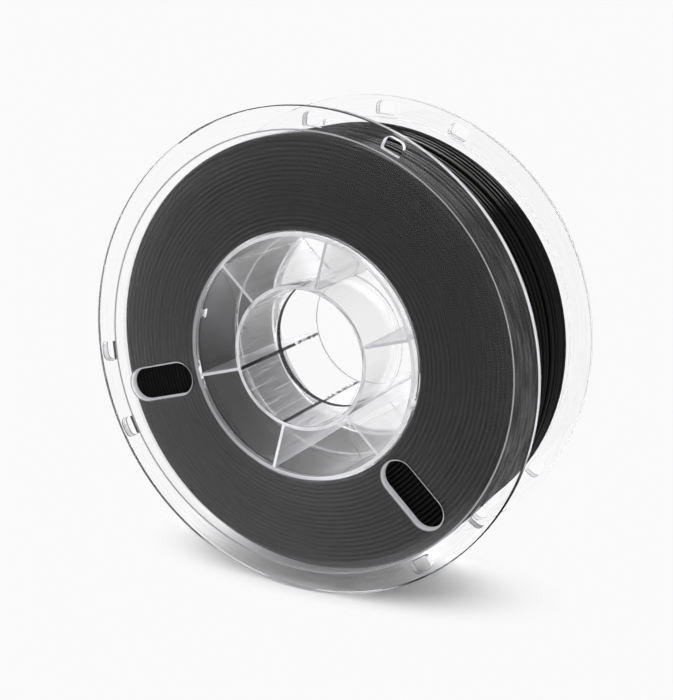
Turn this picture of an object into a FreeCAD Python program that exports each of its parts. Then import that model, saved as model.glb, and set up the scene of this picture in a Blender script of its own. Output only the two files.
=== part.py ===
import FreeCAD, Part
import math
import os

# A full filament spool, standing on its two rims. Two clear moulded halves,
# each a flange with its half of the drum, of the bore tube and of the ribs
# between them, lap into each other at mid-width. The filament fills the
# channel between the flanges: a plain core of inner layers, and the outer
# layer as one unbroken tube.
# The axis is Y, the front flange faces -Y, and the origin is on the axis at
# mid-width. Angles run from +X towards +Z, and sizes are in millimetres.

Vector = FreeCAD.Vector

# Flanges
flange_radius = 100.0
spool_width = 67.2
flange_thickness = 3.6
rim_edge_chamfer = 0.4
rim_band_width = 9.0
panel_recess = 0.3
panel_step_width = 0.6

# Drum, bore tube and ribs
drum_inner_radius = 49.3
drum_wall = 1.5
drum_root_chamfer = 0.8
bore_radius = 28.2
bore_wall = 1.7
bore_lead_in = 0.3
rib_count = 6
rib_thickness = 1.2

# The line, square to the axis, about which each half is symmetrical
symmetry_angle = 75.5

# Lap joint between the halves
lap_length = 2.7
lap_clearance = 0.1

# Obround windows in the flange panel
window_count = 2
window_step_angle = 120.0
window_length = 31.4
window_width = 13.6
window_chamfer = 0.8
window_drum_margin = 3.7

# Holes in the rim band, in pairs, that hold the filament's free end
hole_pair_count = 3
hole_pair_half_angle = 10.45
hole_width = 8.8
hole_height = 5.8
hole_outer_corner = 2.6
hole_inner_corner = 0.8
hole_band_margin = 1.2

# Holes in the drum, beside each flange, that hold the filament's inner end
start_hole_count = 2
start_hole_width = 4.0
start_hole_length = 3.0

# Filament, as a faceted tube with the round wire's section area
filament_diameter = 1.75
filament_facets = 6
winding_rim_margin = 11.5
winding_side_gap = 0.3
winding_seat_gap = 0.3
least_turn_gap = 0.45

# Bunches of strands that show on the winding's two sides
side_bunch_count = 8
side_groove_width = 1.6
side_groove_depth = 0.8

# Derived sizes
half_width = spool_width / 2
panel_inner_face = half_width - flange_thickness
rim_band_radius = flange_radius - rim_band_width
drum_radius = drum_inner_radius + drum_wall
bore_tube_radius = bore_radius + bore_wall
inner_width = spool_width - 2 * flange_thickness
drum_lip = (drum_wall - lap_clearance) / 2
bore_lip = (bore_wall - lap_clearance) / 2
wire_radius = filament_diameter / 2
facet_angle = 2 * math.pi / filament_facets
wire_corner_radius = wire_radius * math.sqrt(facet_angle / math.sin(facet_angle))
winding_radius = flange_radius - winding_rim_margin
turn_centre_radius = winding_radius - wire_radius
core_radius = turn_centre_radius - wire_radius - winding_seat_gap
core_bore_radius = drum_radius + winding_seat_gap
winding_travel = inner_width - 2 * winding_side_gap - 2 * wire_corner_radius
turn_count = math.floor(winding_travel / (2 * wire_corner_radius + least_turn_gap))
turn_pitch = winding_travel / turn_count

# Shapes are drawn with the spool's axis along Z and stood up at the end.
AXIS = Vector(0, 0, 1)
ORIGIN = Vector(0, 0, 0)


def turned(points):
    """Solid of revolution about Z from a closed outline of (radius, height)."""
    corners = [Vector(radius, 0, height) for radius, height in points]
    outline = Part.makePolygon(corners + corners[:1])
    return Part.Face(outline).revolve(ORIGIN, AXIS, 360)


def ring(inner_radius, outer_radius, low, high):
    """Plain ring about Z."""
    return turned([(inner_radius, low), (outer_radius, low), (outer_radius, high), (inner_radius, high)])


def around(shape, angle):
    """Copy of a shape turned about Z."""
    copy = shape.copy()
    copy.rotate(ORIGIN, AXIS, angle)
    return copy


def stood_up(shape):
    """Copy with its Z axis laid along -Y, so that its top faces the front."""
    copy = shape.copy()
    copy.rotate(ORIGIN, Vector(1, 0, 0), 90)
    return copy


def turned_round(shape):
    """Copy turned half round about the symmetry line, to face the other way."""
    angle = math.radians(symmetry_angle)
    copy = shape.copy()
    copy.rotate(ORIGIN, Vector(math.cos(angle), math.sin(angle), 0), 180)
    return copy


def flange_and_drum():
    """Flange with its recessed panel and raised rim band, and half the drum."""
    chamfer = rim_edge_chamfer
    return turned([
        (drum_inner_radius, 0),
        (drum_inner_radius, half_width),
        (drum_radius, half_width),
        (drum_radius, half_width - panel_recess),
        (rim_band_radius - panel_step_width, half_width - panel_recess),
        (rim_band_radius, half_width),
        (flange_radius - chamfer, half_width),
        (flange_radius, half_width - chamfer),
        (flange_radius, panel_inner_face + chamfer),
        (flange_radius - chamfer, panel_inner_face),
        (drum_radius + drum_root_chamfer, panel_inner_face),
        (drum_radius, panel_inner_face - drum_root_chamfer),
        (drum_radius, 0),
    ])


def bore_tube():
    """Half of the bore tube, with a small lead-in at its mouth."""
    return turned([
        (bore_radius, 0),
        (bore_tube_radius, 0),
        (bore_tube_radius, half_width),
        (bore_radius + bore_lead_in, half_width),
        (bore_radius, half_width - bore_lead_in),
    ])


def ribs():
    """Radial ribs that carry the bore tube inside the drum."""
    foot = bore_radius + bore_wall / 2
    head = drum_inner_radius + drum_lip / 2
    rib = Part.makeBox(head - foot, rib_thickness, half_width, Vector(foot, -rib_thickness / 2, 0))
    return [around(rib, symmetry_angle + index * 360 / rib_count) for index in range(rib_count)]


def obround(length, width, height):
    """Wire of a slot with round ends, long along X, at one height."""
    half_run = (length - width) / 2
    side = width / 2
    corners = [
        Vector(half_run, side, height),
        Vector(-half_run, side, height),
        Vector(-half_run, -side, height),
        Vector(half_run, -side, height),
    ]
    return Part.Wire([
        Part.makeLine(corners[0], corners[1]),
        Part.Arc(corners[1], Vector(-length / 2, 0, height), corners[2]).toShape(),
        Part.makeLine(corners[2], corners[3]),
        Part.Arc(corners[3], Vector(length / 2, 0, height), corners[0]).toShape(),
    ])


def windows():
    """Cutters for the panel windows, each with a chamfered outer edge."""
    panel_face = half_width - panel_recess
    throat = Part.Face(obround(window_length, window_width, 0)).extrude(Vector(0, 0, half_width))
    mouth_length = window_length + 2 * window_chamfer
    mouth_width = window_width + 2 * window_chamfer
    mouth = Part.makeLoft([
        obround(window_length, window_width, panel_face - window_chamfer),
        obround(mouth_length, mouth_width, panel_face),
    ], True, True)
    window = throat.fuse(mouth)
    window.translate(Vector(drum_radius + window_drum_margin + window_length / 2, 0, 0))
    first = symmetry_angle + 180 - window_step_angle * (window_count - 1) / 2
    return [around(window, first + index * window_step_angle) for index in range(window_count)]


def rim_hole():
    """Cutter for one rim hole: square towards the axis, round towards the rim."""
    low = rim_band_radius + hole_band_margin
    high = low + hole_height
    side = hole_width / 2
    inner = hole_inner_corner
    outer = hole_outer_corner
    inner_reach = inner * (1 - math.sqrt(0.5))
    outer_reach = outer * (1 - math.sqrt(0.5))

    def corner(radius_start, side_start, radius_middle, side_middle, radius_end, side_end):
        return Part.Arc(
            Vector(radius_start, side_start, 0),
            Vector(radius_middle, side_middle, 0),
            Vector(radius_end, side_end, 0),
        ).toShape()

    def line(radius_start, side_start, radius_end, side_end):
        return Part.makeLine(Vector(radius_start, side_start, 0), Vector(radius_end, side_end, 0))

    outline = Part.Wire([
        line(low, inner - side, low, side - inner),
        corner(low, side - inner, low + inner_reach, side - inner_reach, low + inner, side),
        line(low + inner, side, high - outer, side),
        corner(high - outer, side, high - outer_reach, side - outer_reach, high, side - outer),
        line(high, side - outer, high, outer - side),
        corner(high, outer - side, high - outer_reach, outer_reach - side, high - outer, -side),
        line(high - outer, -side, low + inner, -side),
        corner(low + inner, -side, low + inner_reach, inner_reach - side, low, inner - side),
    ])
    return Part.Face(outline).extrude(Vector(0, 0, half_width))


def rim_holes():
    """Cutters for the pairs of rim holes."""
    hole = rim_hole()
    cutters = []
    for index in range(hole_pair_count):
        middle = symmetry_angle + index * 360 / hole_pair_count
        cutters.append(around(hole, middle - hole_pair_half_angle))
        cutters.append(around(hole, middle + hole_pair_half_angle))
    return cutters


def start_holes():
    """Cutters for the holes through the drum wall beside the flange."""
    low = panel_inner_face - start_hole_length
    corner = Vector(drum_inner_radius - drum_wall, -start_hole_width / 2, low)
    hole = Part.makeBox(3 * drum_wall, start_hole_width, start_hole_length, corner)
    first = symmetry_angle + 90
    return [around(hole, first + index * 360 / start_hole_count) for index in range(start_hole_count)]


def plain_half():
    """One half without its part of the lap joint, outer face up."""
    body = flange_and_drum().multiFuse([bore_tube()] + ribs())
    return body.cut(Part.makeCompound(windows() + rim_holes() + start_holes()))


def socket_half():
    """The half whose walls end in an outer lip."""
    depth = lap_length + lap_clearance
    drum_reach = drum_inner_radius + drum_lip + lap_clearance
    drum_socket = ring(drum_inner_radius - lap_clearance, drum_reach, 0, depth)
    bore_socket = ring(bore_radius / 2, bore_radius + bore_lip + lap_clearance, 0, depth)
    return plain_half().cut(Part.makeCompound([drum_socket, bore_socket])).removeSplitter()


def spigot_half():
    """The half whose walls end in an inner lip that enters the other half."""
    drum_spigot = ring(drum_inner_radius, drum_inner_radius + drum_lip, -lap_length, 0)
    bore_spigot = ring(bore_radius, bore_radius + bore_lip, -lap_length, 0)
    return plain_half().multiFuse([drum_spigot, bore_spigot]).removeSplitter()


def filament_core():
    """Inner layers of filament as a ring that fills the channel, grooved between bunches of strands."""
    end = inner_width / 2 - winding_side_gap
    root = core_bore_radius + drum_root_chamfer
    bunch_width = (core_radius - core_bore_radius) / side_bunch_count
    side = [(root, end)]
    for index in range(1, side_bunch_count):
        middle = core_bore_radius + index * bunch_width
        side.append((middle - side_groove_width / 2, end))
        side.append((middle, end - side_groove_depth))
        side.append((middle + side_groove_width / 2, end))
    side.append((core_radius, end))
    other_side = [(radius, -height) for radius, height in reversed(side)]
    seat = [(core_bore_radius, drum_root_chamfer - end), (core_bore_radius, end - drum_root_chamfer)]
    return turned(side + other_side + seat)


def turn_point(turns):
    """Point and unit tangent of the outer layer's centre line."""
    angle = 2 * math.pi * turns
    point = Vector(
        turn_centre_radius * math.cos(angle),
        turn_centre_radius * math.sin(angle),
        turn_pitch * (turns - turn_count / 2),
    )
    tangent = Vector(
        -2 * math.pi * turn_centre_radius * math.sin(angle),
        2 * math.pi * turn_centre_radius * math.cos(angle),
        turn_pitch,
    )
    return point, tangent.normalize()


def tangent_arc(start, tangent, end):
    """Arc that leaves start along tangent and reaches end."""
    chord = end - start
    lean = math.acos(min(1.0, tangent.dot(chord) / chord.Length))
    sagitta = chord.Length / 2 * math.tan(lean / 2)
    side = tangent - chord * (tangent.dot(chord) / chord.Length ** 2)
    middle = start + chord * 0.5 + side.normalize() * sagitta
    return Part.Arc(start, middle, end).toShape()


def biarc(start, start_tangent, end, end_tangent):
    """Two arcs with one tangent where they meet."""
    span = end - start
    sum_of_tangents = start_tangent + end_tangent
    quadratic = 2 * (start_tangent.dot(end_tangent) - 1)
    linear = -2 * span.dot(sum_of_tangents)
    constant = span.dot(span)
    arm = (-linear - math.sqrt(linear ** 2 - 4 * quadratic * constant)) / (2 * quadratic)
    joint = (start + end + (start_tangent - end_tangent) * arm) * 0.5
    joint_tangent = (end - start - sum_of_tangents * arm).normalize()
    return [tangent_arc(start, start_tangent, joint), tangent_arc(joint, joint_tangent, end)]


def wire_section(centre, tangent):
    """Outline of the wire square to its centre line, one flat side outwards."""
    outwards = Vector(centre.x, centre.y, 0).normalize()
    across = tangent.cross(outwards).normalize()
    corners = []
    for index in range(filament_facets):
        angle = (index + 0.5) * facet_angle
        corners.append(centre + (outwards * math.cos(angle) + across * math.sin(angle)) * wire_corner_radius)
    return Part.makePolygon(corners + corners[:1])


def filament_outer_layer():
    """Outer layer of filament and its path: one tube, straight at both ends."""
    halves = [turn_point(index / 2) for index in range(2 * turn_count + 1)]
    first, first_tangent = halves[0]
    last, last_tangent = halves[-1]
    tail = first - first_tangent * filament_diameter
    edges = [Part.makeLine(tail, first)]
    for (start, start_tangent), (end, end_tangent) in zip(halves, halves[1:]):
        edges.extend(biarc(start, start_tangent, end, end_tangent))
    edges.append(Part.makeLine(last, last + last_tangent * filament_diameter))
    shell = Part.BRepOffsetAPI.MakePipeShell(Part.Wire(edges))
    shell.add(wire_section(tail, first_tangent))
    shell.build()
    shell.makeSolid()
    return shell.shape(), edges


def least_gap(edges):
    """Least free distance between neighbouring turns, on sampled points."""
    turns = edges[1:-1]
    samples = [point for edge in turns for point in edge.discretize(Number=25)[:-1]]
    per_turn = len(samples) // turn_count
    near = per_turn // 4
    least = math.inf
    for index, point in enumerate(samples):
        for other in samples[index + per_turn - near:index + per_turn + near]:
            least = min(least, point.distanceToPoint(other))
    return least - 2 * wire_corner_radius


os.makedirs("parts", exist_ok=True)
outer_layer, outer_layer_path = filament_outer_layer()
nodes = {
    "front_half": stood_up(socket_half()),
    "rear_half": stood_up(turned_round(spigot_half())),
    "filament_core": stood_up(filament_core()),
    "filament_outer_layer": stood_up(outer_layer),
}
for name, shape in nodes.items():
    shape.exportStep("parts/" + name + ".step")
    box = shape.BoundBox
    print(name, "valid", shape.isValid(), "solids", len(shape.Solids), "volume", round(shape.Volume))
    print("  x", round(box.XMin, 2), round(box.XMax, 2), "y", round(box.YMin, 2), round(box.YMax, 2))
print("outer layer:", turn_count, "turns, least gap", round(least_gap(outer_layer_path), 3), "mm")
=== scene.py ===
import math
import random

import bpy
import numpy as np
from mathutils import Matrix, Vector


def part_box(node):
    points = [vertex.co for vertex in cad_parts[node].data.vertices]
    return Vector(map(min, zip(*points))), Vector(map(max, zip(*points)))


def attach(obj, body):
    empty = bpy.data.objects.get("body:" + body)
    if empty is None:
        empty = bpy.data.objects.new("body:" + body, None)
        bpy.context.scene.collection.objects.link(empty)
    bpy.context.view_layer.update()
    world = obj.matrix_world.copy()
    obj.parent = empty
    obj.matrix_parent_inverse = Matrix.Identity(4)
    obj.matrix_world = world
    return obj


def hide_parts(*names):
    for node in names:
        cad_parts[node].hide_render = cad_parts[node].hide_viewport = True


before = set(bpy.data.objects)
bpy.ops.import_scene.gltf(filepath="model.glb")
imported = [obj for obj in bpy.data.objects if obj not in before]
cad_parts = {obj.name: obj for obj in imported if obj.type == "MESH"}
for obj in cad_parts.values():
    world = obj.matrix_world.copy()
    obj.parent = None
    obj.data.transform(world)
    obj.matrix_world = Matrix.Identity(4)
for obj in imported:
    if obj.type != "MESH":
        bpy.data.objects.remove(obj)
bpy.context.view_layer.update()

MM = 0.001

# From the frame
WINDING_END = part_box("filament_core")[1].y
HALF_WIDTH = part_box("rear_half")[1].y / MM
FLOOR_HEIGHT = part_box("front_half")[0].z

# The winding's plain shape and its strands
WINDING_RADIUS = 88.5 * MM
DRUM_RADIUS = 51.1 * MM
STRAND_RADIUS = 0.875 * MM
STRAND_SIDES = 8
STEPS_PER_TURN = 120

# The winding is out of true: mm that it lies beyond its plain radius, every 30 degrees,
# each value spread over the places beside it
FULLNESS = [1.8, 1.3, 0.5, 0.4, -0.2, -0.9, -0.9, -0.4, 0.3, 1.2, 2.7, 2.6]
FULLNESS_STEP = 30
FULLNESS_SPREAD = [-15, -5, 5, 15]

# Strands lie in uneven bunches: the sum of a few waves across the winding
RIDGE_WAVES = 3
RIDGE_SPACING = 4.1 * MM
RIDGE_SPACING_STEP = 2.3 * MM
RIDGE_DRIFT = 0.9
RIDGE_SEED = 3

# Slow waves along a strand: how many, and the range of their speeds
WANDER_WAVES = 4
WANDER_SLOWEST = 0.35
WANDER_SPEEDS = 0.3

# Each layer's ends dip inwards over this angle, and lie low at the left
END_ANGLE = math.pi / 2
LAYER_START = math.radians(215)
UNDER_LAYER = {
    "radius": WINDING_RADIUS - 2.5 * STRAND_RADIUS,
    "turns": 33,
    "seed": 21,
    "lift": 0.5 * MM,
    "dive": 2 * STRAND_RADIUS,
}
TOP_LAYER = {
    "radius": WINDING_RADIUS - STRAND_RADIUS,
    "turns": 20,
    "seed": 31,
    "hand": -1,
    "lift": 0.8 * MM,
    "dive": 2.4 * STRAND_RADIUS,
    "sway": 1.2 * MM,
    "bunching": 0.4,
}

# The spirals against the flanges: pitch in strand radii, and how much they wave in and out
SPIRAL_PITCH = 2.04
SPIRAL_WAVE = 0.08 * MM
FRONT_SPIRAL_SEED = 11
REAR_SPIRAL_SEED = 12

# The closed ring behind the strands, in strand radii within the winding's outside
RING_BELOW_TOP = 4
RING_BELOW_SIDE = 2

# Ribs stand at this angle in degrees, and evenly from it
RIB_ANGLE = 15.5
RIB_SPACING = math.pi / 3
RIB_ROOT = 0.75

# A face counts as square to the axis when its normal lies at least this much along it
SQUARE_TO_AXIS = 0.95

# Regions of the halves that look different, in mm: radii from the axis
BORE_WALL_END = 28.5
HUB_RADII = (30.0, 49.2)
DRUM_OUTSIDE = 51.0
CUT_RADII = (52.0, 99.3)
PAINTED_FOOT_LIGHT_RADII = (85.0, 91.0)
WOUND_END = 88.0
STEP_RADII = (90.35, 91.02)
PANEL_END = 90.8
BAND_RADII = (91.1, 99.3)
RIM_HOLES_START = 91.5
RIM_EDGE_START = 99.55
RIM_SURFACE_START = 99.9

# The same, as depths from mid-width, and the lap joint's place along the axis
LAP_PLACES = (-2.75, 0.05)
INNER_FACE_DEPTHS = (29.8, 30.2)
RIM_EDGE_DEPTH = 30.2
HOLE_INNER_DEPTH = 30.4
RIM_STRIPE_DEPTHS = (31.0, 33.2)
WINDOW_MOUTH_DEPTH = 32.45
WINDOW_LINE_DEPTH = 33.02
HOLE_OUTER_DEPTH = 33.2
OUTER_FACE_DEPTH = HALF_WIDTH - 0.5
END_FACE_DEPTH = HALF_WIDTH - 0.05

# Where the rim and panel change round the spool, with the painted light and shade on them, in mm
# across or up from the axis
RIGHT_ACROSS = (10, 40)
RIGHT_UP = (-36, -24)
RIM_FOOT_UP = (-86, -91)
PANEL_FOOT_UP = (-40, -75)
STEP_FOOT_UP = (-60, -80)
BAND_UP = (60, -60)

# Haze on the clear plastic, with painted light in the same white layer: painted highlights and a
# painted grey line on the rim's edge, painted light at the foot of the panel and of its step, and
# painted strand reflections on the panel; each region adds its share
HUB_HAZE = 0.16
HUB_STREAKS = 0.32
MOST_HAZE = 0.9
HAZE_PASSES = 0.5
WINDOW_HAZE_PASSES = 0.05
HAZE_AND_PAINTED_LIGHT = {
    "drum edge": 0.5,
    "panel step": 0.6,
    "cut wall": 0.8,
    "rim hole wall": -0.2,
    "painted strand rings and light": 1.0,
    "bore front": -0.23,
    "bore front streaks": 0.8,
    "painted rim highlight": 0.85,
    "painted grey rim edge": 0.3,
    "band streaks": 0.32,
    "window mouth": -0.2,
    "painted panel foot light": 0.25,
    "painted rim foot highlight": 0.85,
    "painted panel step foot light": 0.3,
}

# Dark lines on the clear plastic: the dark joint at the seam, and painted dark reflections along
# the rib roots, the rim's edge, the hole mouths and the window edges; the darkest region counts
DARK = {
    "seam": 0.92,
    "painted dark front rib root": 0.85,
    "painted dark rib root dashes": 0.6,
    "painted dark rim edge": 1.0,
    "painted dark rim low right": 0.95,
    "painted dark hole mouth": 0.85,
    "painted dark window line": 0.6,
}
# Shares of the painted dark line on the rim's edge, at its left and at its right
RIM_LINE_LEFT = 0.3
RIM_LINE_RIGHT = 0.65

# Streaks: drawn out along the axis in the hub, and round the axis on the rim band
STREAK_SHORTENING = 0.04
BAND_UNROLL = 6 * MM
BAND_STREAK_LEVEL = 0.4
BAND_LEAST = 0.5

# Share of the strands' surface that shines
STRAND_SHINE = 0.4

# Painted reflection: faint rings on the panel where the winding lies against it, at the strands'
# pitch, stand in for the strands seen through the frosted panel, with painted light making them
# hazier at the lower left
MARK_PITCH = 1.95 * MM
MARK_WOBBLE = 6.0
MARK_DEPTH = 0.1
MARK_HAZE = 0.065
PAINTED_LIGHT_SLOPE = -0.85

# The floor is plain white past this ellipse, and takes the object's shadow inside it
SHADOW_REACH = 107 * MM
SHADOW_DEPTH = 44 * MM
SHADOW_FADE_START = 0.5
FLOOR_SIZE = 8.0

# Background and sky
BACKGROUND = 0.956
SKY = 0.95

# Camera, fitted to the photograph's view
CAMERA_PLACE = (250.56 * MM, -477.26 * MM, 138.70 * MM)
CAMERA_DOWN = 14.85
CAMERA_TURN = 27.774
CAMERA_LENS = 68.016
CAMERA_SENSOR = 36

LIGHT_BOUNCES = 32
GLOSSY_BOUNCES = 24


def link(obj):
    bpy.context.scene.collection.objects.link(obj)
    return obj


def tube(points, outwards):
    """Vertices and faces of a strand along points, with one known direction square to it."""
    tangents = np.gradient(points, axis=0)
    tangents /= np.linalg.norm(tangents, axis=1)[:, None]
    across = np.cross(tangents, outwards)
    across /= np.linalg.norm(across, axis=1)[:, None]
    upward = np.cross(across, tangents)
    rings = []
    for side in range(STRAND_SIDES):
        angle = 2 * math.pi * side / STRAND_SIDES
        offset = upward * math.cos(angle) + across * math.sin(angle)
        rings.append(points + STRAND_RADIUS * offset)
    vertices = np.stack(rings, axis=1).reshape(-1, 3)
    count = len(points)
    faces = band_faces(count - 1, STRAND_SIDES)
    faces.append(tuple(reversed(range(STRAND_SIDES))))
    faces.append(tuple(range((count - 1) * STRAND_SIDES, count * STRAND_SIDES)))
    return vertices, faces


def band_faces(spans, sides, closed=False):
    """Faces between the rings of a tube, from its first ring on."""
    faces = []
    for step in range(spans):
        here = step * sides
        there = (step + 1) % spans * sides if closed else (step + 1) * sides
        for side in range(sides):
            after = (side + 1) % sides
            faces.append((here + side, here + after, there + after, there + side))
    return faces


def mesh_object(name, parts):
    """One object from several (vertices, faces) parts, shaded smooth."""
    vertices = []
    faces = []
    for part_vertices, part_faces in parts:
        start = len(vertices)
        vertices.extend(map(tuple, part_vertices))
        faces.extend(tuple(start + index for index in face) for face in part_faces)
    mesh = bpy.data.meshes.new(name)
    mesh.from_pydata(vertices, [], faces)
    mesh.polygons.foreach_set("use_smooth", [True] * len(mesh.polygons))
    mesh.update()
    return link(bpy.data.objects.new(name, mesh))


def round_point(radius, angle, along):
    """Points at a radius and angle round the spool's axis, Y, as arrays."""
    return np.stack([radius * np.cos(angle), along, radius * np.sin(angle)], axis=-1)


def wander(angle, seed):
    """Slow smooth wave of the angle, between about -1 and 1."""
    source = random.Random(seed)
    total = np.zeros_like(angle)
    for index in range(WANDER_WAVES):
        speed = (1 + index) * (WANDER_SLOWEST + WANDER_SPEEDS * source.random())
        total += np.sin(speed * angle + 2 * math.pi * source.random()) / (1 + index)
    return total / 2


def ridges(along, angle):
    """Height of the uneven bunches that strands lie in, from 0 to about 1."""
    source = random.Random(RIDGE_SEED)
    total = np.zeros_like(angle)
    for index in range(RIDGE_WAVES):
        spacing = RIDGE_SPACING + RIDGE_SPACING_STEP * index
        drift = RIDGE_DRIFT * np.sin((index + 1) * angle + 2 * math.pi * source.random())
        total += np.sin(2 * math.pi * along / spacing + drift + 2 * math.pi * source.random())
    return 0.5 + total / (2 * RIDGE_WAVES)


def swell(angle):
    """How far the winding's outside lies beyond its plain radius."""
    places = np.radians(np.arange(0, 360, FULLNESS_STEP))
    total = 0.0
    for shift in np.radians(FULLNESS_SPREAD):
        total = total + np.interp(angle + shift, places, FULLNESS, period=2 * math.pi)
    return total / len(FULLNESS_SPREAD) * MM


def helix_layer(radius, turns, seed, lift, dive, hand=1, sway=0.0, bunching=0.0):
    """One layer of the winding: a helix from flange to flange, a little uneven."""
    angle = np.linspace(0, 2 * math.pi * turns, turns * STEPS_PER_TURN + 1)
    reach = WINDING_END - STRAND_RADIUS
    share = angle / angle[-1]
    share = share - bunching * np.sin(2 * math.pi * share) / (2 * math.pi)
    along = -reach + 2 * reach * share
    along = along + sway * wander(angle, seed)
    along = np.clip(along, -reach, reach) * hand
    to_end = np.minimum(angle, angle[-1] - angle) / END_ANGLE
    angle = angle + LAYER_START
    radii = radius + lift * (ridges(along, angle) - 0.5) + swell(angle)
    radii = radii - dive * np.clip(1 - to_end, 0, 1) ** 2
    outwards = round_point(np.ones_like(angle), angle, np.zeros_like(angle))
    return tube(round_point(radii, angle, along), outwards)


def side_spiral(side, seed):
    """The strands that lie against one flange, as one spiral from drum to rim."""
    first = DRUM_RADIUS + STRAND_RADIUS
    last = WINDING_RADIUS - STRAND_RADIUS
    turns = (last - first) / (SPIRAL_PITCH * STRAND_RADIUS)
    angle = np.linspace(0, 2 * math.pi * turns, int(turns * STEPS_PER_TURN) + 1)
    share = angle / angle[-1]
    radii = first + (last - first) * share + swell(angle) * share ** 2
    along = side * (WINDING_END - STRAND_RADIUS - SPIRAL_WAVE * (1 + wander(angle, seed)))
    outwards = round_point(np.zeros_like(angle), angle, np.full_like(angle, side))
    return tube(round_point(radii, angle, along), outwards)


def inner_ring():
    """Closed ring behind the strands, so that no light passes between them."""
    end = WINDING_END - RING_BELOW_SIDE * STRAND_RADIUS
    vertices = []
    for step in range(STEPS_PER_TURN):
        angle = 2 * math.pi * step / STEPS_PER_TURN
        outer = WINDING_RADIUS - RING_BELOW_TOP * STRAND_RADIUS + swell(angle)
        corners = ((DRUM_RADIUS, -end), (outer, -end), (outer, end), (DRUM_RADIUS, end))
        for radius, along in corners:
            vertices.append((radius * math.cos(angle), along, radius * math.sin(angle)))
    return np.array(vertices), band_faces(STEPS_PER_TURN, len(corners), closed=True)


def build_winding():
    body = mesh_object("filament_body", [
        inner_ring(),
        side_spiral(-1, FRONT_SPIRAL_SEED),
        side_spiral(1, REAR_SPIRAL_SEED),
    ])
    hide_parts("filament_core")
    top = mesh_object("filament_top", [helix_layer(**UNDER_LAYER), helix_layer(**TOP_LAYER)])
    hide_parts("filament_outer_layer")
    material = filament_material()
    for piece in (body, top):
        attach(piece, "root")
        piece.data.materials.append(material)


class Shading:
    """Short forms for adding nodes. A mask is 1 in its region and 0 elsewhere."""

    def __init__(self, owner):
        owner.use_nodes = True
        self.nodes = owner.node_tree.nodes
        self.links = owner.node_tree.links
        self.nodes.clear()

    def feed(self, socket, value):
        """Sets a socket from a number, a colour or another node's output."""
        if isinstance(value, bpy.types.NodeSocket):
            self.links.new(value, socket)
        else:
            socket.default_value = value

    def add(self, kind, **inputs):
        node = self.nodes.new(kind)
        for name, value in inputs.items():
            self.feed(node.inputs[name.replace("_", " ")], value)
        return node

    def math(self, operation, *values):
        node = self.nodes.new("ShaderNodeMath")
        node.operation = operation
        for socket, value in zip(node.inputs, values):
            self.feed(socket, value)
        return node.outputs["Value"]

    def times(self, first, *others):
        for other in others:
            first = self.math("MULTIPLY", first, other)
        return first

    def greatest(self, first, *others):
        for other in others:
            first = self.math("MAXIMUM", first, other)
        return first

    def less(self, first, second):
        return self.math("SUBTRACT", first, second)

    def inverse(self, mask):
        return self.less(1.0, mask)

    def plus(self, value, factor, start):
        """The start plus the value times the factor."""
        return self.math("MULTIPLY_ADD", value, factor, start)

    def past(self, value, limit):
        """Mask of where a length is more than the limit in mm."""
        return self.math("GREATER_THAN", value, limit * MM)

    def within(self, value, low, high):
        """Mask of where a length lies between two limits in mm."""
        return self.less(self.past(value, low), self.past(value, high))

    def ramp(self, value, start, end):
        """From 0 where a length is the start to 1 where it is the end, both in mm."""
        node = self.add("ShaderNodeMapRange", Value=value, From_Min=start * MM, From_Max=end * MM)
        return node.outputs["Result"]

    def noise(self, place, scale, detail):
        node = self.add("ShaderNodeTexNoise", Vector=place, Scale=scale, Detail=detail)
        return node.outputs["Fac"]

    def mix(self, share, first, second):
        node = self.nodes.new("ShaderNodeMixShader")
        for socket, value in zip(node.inputs, (share, first, second)):
            self.feed(socket, value)
        return node.outputs["Shader"]

    def seen(self):
        """Mask of rays that show a surface to the camera, also through or off the plastic."""
        path = self.nodes.new("ShaderNodeLightPath").outputs
        return self.greatest(
            path["Is Camera Ray"], path["Is Glossy Ray"], path["Is Transmission Ray"]
        )


def filament_material():
    material = bpy.data.materials.new("black filament")
    shading = Shading(material)
    place = shading.nodes.new("ShaderNodeTexCoord").outputs["Object"]
    noise = shading.noise(place, scale=900, detail=3)
    roughness = shading.add("ShaderNodeMapRange", Value=noise, To_Min=0.07, To_Max=0.15)
    shiny = shading.add(
        "ShaderNodeBsdfPrincipled",
        Base_Color=(0.003, 0.0034, 0.003, 1),
        Specular_IOR_Level=0.14,
        Roughness=roughness.outputs["Result"],
    )
    matt = shading.add("ShaderNodeBsdfDiffuse", Color=(0.0055, 0.0059, 0.0054, 1))
    surface = shading.mix(STRAND_SHINE, matt.outputs["BSDF"], shiny.outputs["BSDF"])
    shading.add("ShaderNodeOutputMaterial", Surface=surface)
    return material


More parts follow.
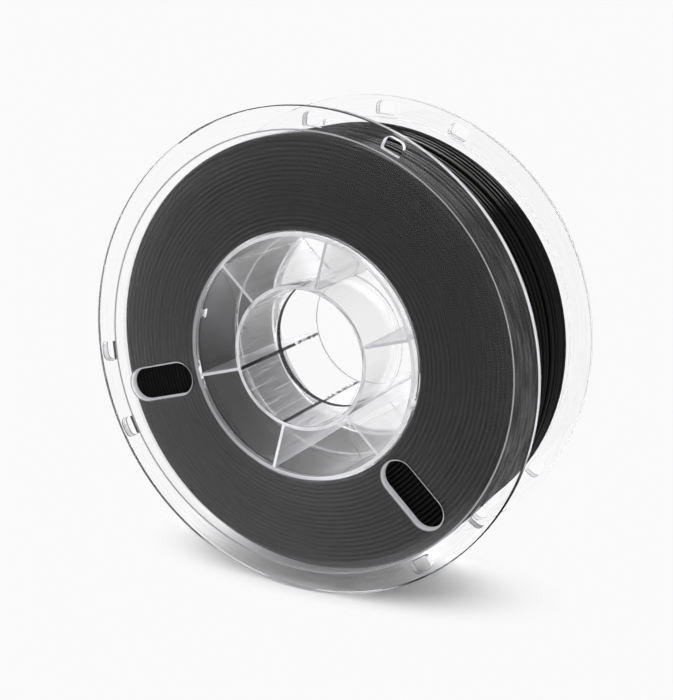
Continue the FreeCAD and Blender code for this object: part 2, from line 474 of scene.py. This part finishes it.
class SpoolPlace:
    """Where on the spool a point lies, as values and masks for one material's nodes."""

    def __init__(self, shading):
        self.point = shading.nodes.new("ShaderNodeTexCoord").outputs["Object"]
        parts = shading.add("ShaderNodeSeparateXYZ", Vector=self.point).outputs
        self.across, self.along, self.up = parts["X"], parts["Y"], parts["Z"]
        flat = shading.add("ShaderNodeCombineXYZ", X=self.across, Y=self.up)
        length = shading.nodes.new("ShaderNodeVectorMath")
        length.operation = "LENGTH"
        shading.feed(length.inputs[0], flat.outputs["Vector"])
        self.radius = length.outputs["Value"]
        self.depth = shading.math("ABSOLUTE", self.along)
        self.bearing = shading.math("ARCTAN2", self.up, self.across)
        geometry = shading.nodes.new("ShaderNodeNewGeometry").outputs
        normal = shading.add("ShaderNodeSeparateXYZ", Vector=geometry["True Normal"])
        facing = shading.math("ABSOLUTE", normal.outputs["Y"])
        self.square = shading.math("GREATER_THAN", facing, SQUARE_TO_AXIS)
        self.outside = shading.inverse(geometry["Backfacing"])
        self.front = shading.inverse(shading.past(self.along, 0.0))
        self.outer_face = shading.past(self.depth, OUTER_FACE_DEPTH)
        self.panel = shading.times(
            self.outer_face,
            self.square,
            shading.within(self.radius, DRUM_OUTSIDE, PANEL_END),
        )
        self.bore_wall = shading.times(
            self.outside, shading.inverse(shading.past(self.radius, BORE_WALL_END))
        )
        self.cut_wall = shading.times(
            shading.within(self.radius, *CUT_RADII), shading.inverse(self.square), self.outside
        )
        self.hole_wall = shading.times(
            self.cut_wall, shading.past(self.radius, RIM_HOLES_START)
        )
        self.window_wall = shading.less(self.cut_wall, self.hole_wall)


def painted_strand_rings_and_light(shading, place):
    """Painted rings of haze on the inner face where the winding lies against it, standing in for
    the strands seen through the panel, with painted light that is hazier towards the lower left.
    """
    against = shading.times(
        shading.within(place.depth, *INNER_FACE_DEPTHS),
        place.square,
        shading.within(place.radius, DRUM_OUTSIDE, WOUND_END),
    )
    wobble = shading.times(shading.noise(place.point, scale=22, detail=2), MARK_WOBBLE)
    phase = shading.plus(place.radius, 2 * math.pi / MARK_PITCH, wobble)
    patches = shading.noise(place.point, scale=60, detail=2)
    rings = shading.times(shading.math("SINE", phase), patches)
    slope = shading.math("ADD", place.across, place.up)
    slope = shading.plus(slope, PAINTED_LIGHT_SLOPE, MARK_HAZE)
    return shading.times(shading.plus(rings, MARK_DEPTH, slope), against)


def haze_and_painted_light_masks(shading, place, rim):
    """The haze inside the hub, and the masks of haze and of painted light that the shares are
    given for.
    """
    drawn = shading.nodes.new("ShaderNodeVectorMath")
    drawn.operation = "MULTIPLY"
    shading.feed(drawn.inputs[0], place.point)
    drawn.inputs[1].default_value = (1.0, STREAK_SHORTENING, 1.0)
    streaks = shading.noise(drawn.outputs["Vector"], scale=260, detail=2)
    fine_streaks = shading.noise(drawn.outputs["Vector"], scale=900, detail=3)
    hub = shading.times(
        shading.within(place.radius, *HUB_RADII),
        place.outside,
        shading.plus(streaks, HUB_STREAKS, HUB_HAZE),
    )

    unrolled = shading.add(
        "ShaderNodeCombineXYZ", X=place.radius, Y=shading.times(place.bearing, BAND_UNROLL)
    )
    brushed = shading.noise(unrolled.outputs["Vector"], scale=900, detail=2)
    band = shading.times(
        place.outer_face,
        place.square,
        shading.within(place.radius, *BAND_RADII),
        shading.less(brushed, BAND_STREAK_LEVEL),
        shading.math("ADD", shading.ramp(place.up, *BAND_UP), BAND_LEAST),
    )

    step = shading.times(shading.within(place.radius, *STEP_RADII), place.outer_face)
    # Painted light: the panel's outer ring is lighter towards its foot
    foot = shading.times(
        place.panel,
        shading.ramp(place.radius, *PAINTED_FOOT_LIGHT_RADII),
        shading.ramp(place.up, *PANEL_FOOT_UP),
    )
    bore_front = shading.times(place.bore_wall, place.front)
    return hub, {
        "drum edge": shading.times(
            shading.past(place.depth, END_FACE_DEPTH),
            shading.inverse(shading.past(place.radius, DRUM_OUTSIDE)),
        ),
        "panel step": step,
        "cut wall": place.cut_wall,
        "rim hole wall": place.hole_wall,
        "painted strand rings and light": painted_strand_rings_and_light(shading, place),
        "bore front": bore_front,
        "bore front streaks": shading.times(bore_front, fine_streaks),
        "painted rim highlight": rim["bright"],
        "painted grey rim edge": rim["soft"],
        "band streaks": band,
        "window mouth": shading.times(
            place.window_wall, shading.past(place.depth, WINDOW_MOUTH_DEPTH)
        ),
        "painted panel foot light": foot,
        "painted rim foot highlight": rim["foot"],
        "painted panel step foot light": shading.times(step, shading.ramp(place.up, *STEP_FOOT_UP)),
    }


def painted_rim_light(shading, place):
    """The rim's outer edge, with painted highlights at the right, at the foot and at the rear, and
    a painted grey line and painted dark lines elsewhere.
    """
    stripe = shading.times(
        shading.within(place.depth, *RIM_STRIPE_DEPTHS),
        shading.past(place.radius, RIM_SURFACE_START),
    )
    edge = shading.times(
        shading.past(place.radius, RIM_EDGE_START),
        shading.past(place.depth, RIM_EDGE_DEPTH),
        place.front,
    )
    right_half = shading.ramp(place.across, *RIGHT_ACROSS)
    right = shading.times(right_half, shading.ramp(place.up, *RIGHT_UP))
    foot = shading.ramp(place.up, *RIM_FOOT_UP)
    bright = shading.greatest(right, foot, shading.inverse(place.front))
    bright = shading.times(stripe, bright)
    rest = shading.less(stripe, bright)
    return {
        "bright": bright,
        "soft": shading.times(rest, shading.inverse(right_half)),
        "foot": shading.times(edge, foot),
        "line": shading.times(rest, shading.plus(right_half, RIM_LINE_RIGHT, RIM_LINE_LEFT)),
        "low right": shading.times(
            edge, shading.less(right_half, right), shading.inverse(foot)
        ),
    }


def dark_lines(shading, place, rim):
    """The masks that DARK gives shares for: the seam's dark joint, and painted dark reflections.
    """
    # Painted dark refraction lines along the rib roots, on the bore's lower half
    turn = shading.less(place.bearing, math.radians(RIB_ANGLE))
    turn = shading.math("ADD", shading.math("DIVIDE", turn, RIB_SPACING), 0.5)
    turn = shading.math("ABSOLUTE", shading.less(shading.math("FRACT", turn), 0.5))
    from_rib = shading.times(turn, RIB_SPACING, place.radius)
    root = shading.times(
        place.bore_wall,
        shading.inverse(shading.past(from_rib, RIB_ROOT)),
        shading.inverse(shading.past(place.up, 0.0)),
    )
    dashes = shading.noise(place.point, scale=260, detail=1)
    dashes = shading.math("GREATER_THAN", dashes, 0.5)
    # Painted dark reflections at the mouths of the rim holes
    mouth = shading.greatest(
        shading.past(place.depth, HOLE_OUTER_DEPTH),
        shading.inverse(shading.past(place.depth, HOLE_INNER_DEPTH)),
    )
    return {
        "seam": shading.times(shading.within(place.along, *LAP_PLACES), place.bore_wall),
        "painted dark front rib root": shading.times(root, place.front),
        "painted dark rib root dashes": shading.times(root, dashes),
        "painted dark rim edge": rim["line"],
        "painted dark rim low right": rim["low right"],
        "painted dark hole mouth": shading.times(place.hole_wall, mouth),
        # Painted dark reflection along the windows' outer edge
        "painted dark window line": shading.times(
            place.window_wall, shading.past(place.depth, WINDOW_LINE_DEPTH)
        ),
    }


def clear_material():
    material = bpy.data.materials.new("clear plastic")
    shading = Shading(material)
    place = SpoolPlace(shading)
    rim = painted_rim_light(shading, place)

    grain = shading.noise(place.point, scale=1400, detail=2)
    bump = shading.add(
        "ShaderNodeBump", Height=grain, Distance=0.0001, Strength=shading.times(place.panel, 0.5)
    )
    glass = shading.add(
        "ShaderNodeBsdfPrincipled",
        Base_Color=(0.99, 0.988, 0.994, 1),
        Transmission_Weight=1.0,
        IOR=1.44,
        Roughness=shading.plus(place.panel, 0.2, 0.015),
        Specular_Tint=(0.5, 0.5, 0.5, 1),
        Normal=bump.outputs["Normal"],
    )

    # White layer for the haze, which also carries the painted highlights and painted light
    white = (0.94, 0.93, 0.97, 1)
    front = shading.add("ShaderNodeBsdfDiffuse", Color=white)
    back = shading.add("ShaderNodeBsdfTranslucent", Color=white)
    passed = shading.plus(place.window_wall, WINDOW_HAZE_PASSES - HAZE_PASSES, HAZE_PASSES)
    haze = shading.mix(passed, front.outputs["BSDF"], back.outputs["BSDF"])
    amount, masks = haze_and_painted_light_masks(shading, place, rim)
    for name, share in HAZE_AND_PAINTED_LIGHT.items():
        amount = shading.plus(masks[name], share, amount)
    amount = shading.math("MINIMUM", amount, MOST_HAZE)
    surface = shading.mix(amount, glass.outputs["BSDF"], haze)

    # Dark joint at the seam, and painted dark reflections on the other dark lines
    dark = shading.add("ShaderNodeBsdfDiffuse", Color=(0.012, 0.012, 0.013, 1))
    masks = dark_lines(shading, place, rim)
    darkened = shading.greatest(
        *(shading.times(masks[name], share) for name, share in DARK.items())
    )
    surface = shading.mix(darkened, surface, dark.outputs["BSDF"])

    # Shadow rays pass almost unchanged, as through thin clear plastic
    through = shading.add("ShaderNodeBsdfTransparent", Color=(0.965, 0.965, 0.97, 1))
    path = shading.nodes.new("ShaderNodeLightPath").outputs
    surface = shading.mix(path["Is Shadow Ray"], surface, through.outputs["BSDF"])
    shading.add("ShaderNodeOutputMaterial", Surface=surface)
    return material


def build_plastic():
    material = clear_material()
    for name in ("front_half", "rear_half"):
        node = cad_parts[name]
        node.data.materials.clear()
        node.data.materials.append(material)


def floor_material():
    material = bpy.data.materials.new("floor")
    shading = Shading(material)
    place = shading.nodes.new("ShaderNodeTexCoord").outputs["Object"]
    parts = shading.add("ShaderNodeSeparateXYZ", Vector=place).outputs
    across = shading.math("DIVIDE", parts["X"], SHADOW_REACH)
    along = shading.math("DIVIDE", parts["Y"], SHADOW_DEPTH)
    distance = shading.math("ADD", shading.times(across, across), shading.times(along, along))
    fade = shading.add(
        "ShaderNodeMapRange",
        Value=shading.math("SQRT", distance),
        From_Min=SHADOW_FADE_START,
        From_Max=1.0,
    )
    fade.interpolation_type = "SMOOTHSTEP"
    lit = shading.add("ShaderNodeBsdfDiffuse", Color=(0.98, 0.98, 0.98, 1))
    plain = shading.add("ShaderNodeEmission", Color=(BACKGROUND, BACKGROUND, BACKGROUND, 1))
    share = shading.times(fade.outputs["Result"], shading.seen())
    surface = shading.mix(share, lit.outputs["BSDF"], plain.outputs["Emission"])
    shading.add("ShaderNodeOutputMaterial", Surface=surface)
    return material


def build_floor():
    size = FLOOR_SIZE
    mesh = bpy.data.meshes.new("floor")
    corners = [(-size, -size, 0), (size, -size, 0), (size, size, 0), (-size, size, 0)]
    mesh.from_pydata(corners, [], [(0, 1, 2, 3)])
    floor = link(bpy.data.objects.new("floor", mesh))
    floor.location.z = FLOOR_HEIGHT
    floor.data.materials.append(floor_material())


def build_world():
    world = bpy.data.worlds.new("studio")
    bpy.context.scene.world = world
    shading = Shading(world)
    sky = shading.add("ShaderNodeBackground", Color=(1, 1, 1, 1), Strength=SKY)
    plain = shading.add(
        "ShaderNodeBackground", Color=(BACKGROUND, BACKGROUND, BACKGROUND, 1), Strength=1.0
    )
    surface = shading.mix(
        shading.seen(), sky.outputs["Background"], plain.outputs["Background"]
    )
    shading.add("ShaderNodeOutputWorld", Surface=surface)


def build_lamp(name, place, size, power):
    lamp = bpy.data.lights.new(name, "AREA")
    lamp.shape = "RECTANGLE"
    lamp.size, lamp.size_y = size
    lamp.energy = power
    obj = link(bpy.data.objects.new(name, lamp))
    obj.location = place
    obj.rotation_euler = (-Vector(place)).to_track_quat("-Z", "Y").to_euler()
    return obj


def build_lamps():
    build_lamp("key", place=(-0.9, 0.6, 1.8), size=(0.6, 0.6), power=3)
    # The strip only makes the bright lines on the strands and edges
    strip = build_lamp("strip", place=(0.5, 0.9, 1.8), size=(2.2, 0.3), power=180)
    strip.visible_diffuse = False
    strip.visible_transmission = False
    strip.visible_camera = False


def build_camera():
    camera = bpy.data.cameras.new("camera")
    camera.sensor_width = CAMERA_SENSOR
    camera.lens = CAMERA_LENS
    obj = link(bpy.data.objects.new("camera", camera))
    obj.location = CAMERA_PLACE
    obj.rotation_euler = (math.radians(90 - CAMERA_DOWN), 0, math.radians(CAMERA_TURN))
    bpy.context.scene.camera = obj


def build_settings():
    scene = bpy.context.scene
    scene.view_settings.view_transform = "Standard"
    scene.cycles.max_bounces = LIGHT_BOUNCES
    scene.cycles.glossy_bounces = GLOSSY_BOUNCES
    scene.cycles.transmission_bounces = LIGHT_BOUNCES
    scene.cycles.transparent_max_bounces = LIGHT_BOUNCES


build_settings()
build_plastic()
build_winding()
build_floor()
build_world()
build_lamps()
build_camera()
